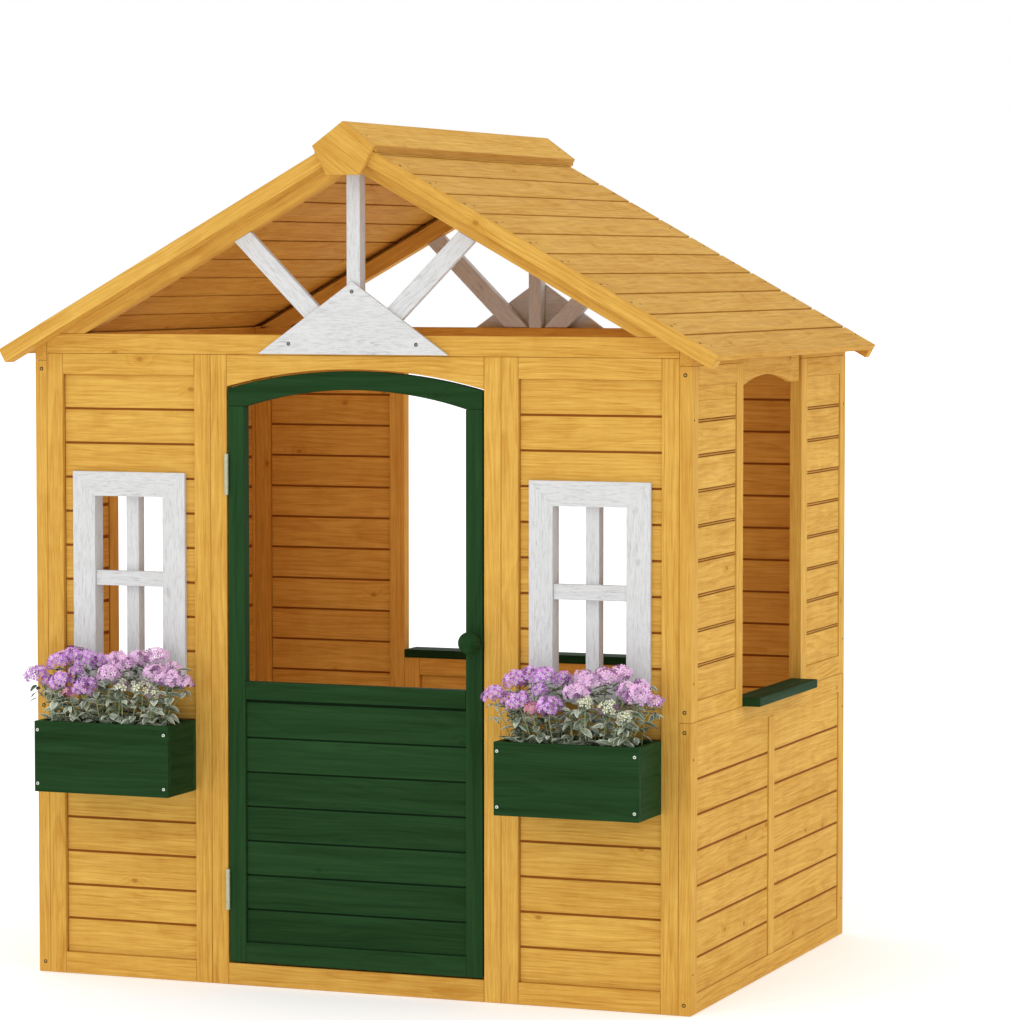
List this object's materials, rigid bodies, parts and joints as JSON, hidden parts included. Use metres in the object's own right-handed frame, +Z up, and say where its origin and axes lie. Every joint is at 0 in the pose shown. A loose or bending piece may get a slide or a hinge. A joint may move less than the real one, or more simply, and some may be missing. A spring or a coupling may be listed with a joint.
{
  "type": "wooden playhouse",
  "caption": "Gabled wooden garden playhouse with boarded walls, an arched half-open door on hinges, barred windows, flower planters, open side and back hatches and a boarded roof.",
  "frame": {"origin": "on the ground, under the middle of the whole object's box", "axes": "+X to the right of someone facing the front, -Y out of the front (door) wall, +Z up"},
  "size_m": [1.1994, 0.9646, 1.35],
  "materials": {
    "honey_wood": "honey-stained softwood boards, satin",
    "white_wood": "whitewashed softwood, the grain showing through",
    "green_wood": "dark green painted softwood, satin",
    "steel": "plated steel, satin",
    "flowers": "petals and leaves"
  },
  "bodies": {
    "house": {"back_gusset": "white_wood", "back_king_post": "white_wood", "back_left_panel": "honey_wood", "back_lower_panel": "honey_wood", "back_rafter_left": "honey_wood", "back_rafter_right": "honey_wood", "back_right_panel": "honey_wood", "back_sill": "green_wood", "back_strut_left": "white_wood", "back_strut_right": "white_wood", "back_tie_beam": "honey_wood", "door_header": "honey_wood", "door_jamb_left": "honey_wood", "door_jamb_right": "honey_wood", "door_threshold": "honey_wood", "flowers_left": "flowers", "flowers_right": "flowers", "front_gusset": "white_wood", "front_king_post": "white_wood", "front_left_panel": "honey_wood", "front_rafter_left": "honey_wood", "front_rafter_right": "honey_wood", "front_right_panel": "honey_wood", "front_strut_left": "white_wood", "front_strut_right": "white_wood", "front_tie_beam": "honey_wood", "hinge_lower_jamb_leaf": "steel", "hinge_upper_jamb_leaf": "steel", "left_back_upper_panel": "honey_wood", "left_front_upper_panel": "honey_wood", "left_hatch_header": "honey_wood", "left_lower_panel": "honey_wood", "left_sill": "green_wood", "left_wall_plate": "honey_wood", "planter_left": "green_wood", "planter_right": "green_wood", "ridge_board_left": "honey_wood", "ridge_board_right": "honey_wood", "ridge_end_back": "honey_wood", "ridge_end_front": "honey_wood", "right_back_upper_panel": "honey_wood", "right_front_upper_panel": "honey_wood", "right_hatch_header": "honey_wood", "right_lower_panel": "honey_wood", "right_sill": "green_wood", "right_wall_plate": "honey_wood", "roof_panel_left": "honey_wood", "roof_panel_right": "honey_wood", "window_bars_left": "white_wood", "window_bars_right": "white_wood", "window_inner_trim_left": "white_wood", "window_inner_trim_right": "white_wood", "window_trim_left": "white_wood", "window_trim_right": "white_wood"},
    "door": {"door_frame": "green_wood", "door_boards": "green_wood", "door_knob": "green_wood", "hinge_lower_door_leaf": "steel", "hinge_upper_door_leaf": "steel"}
  },
  "joints": [
    {"name": "door_hinge", "type": "hinge", "parent": "house", "child": "door", "pos_m": [-0.2146, -0.37585, 0.48], "axis": [0, 0, -1], "range_deg": [0, 100]}
  ]
}
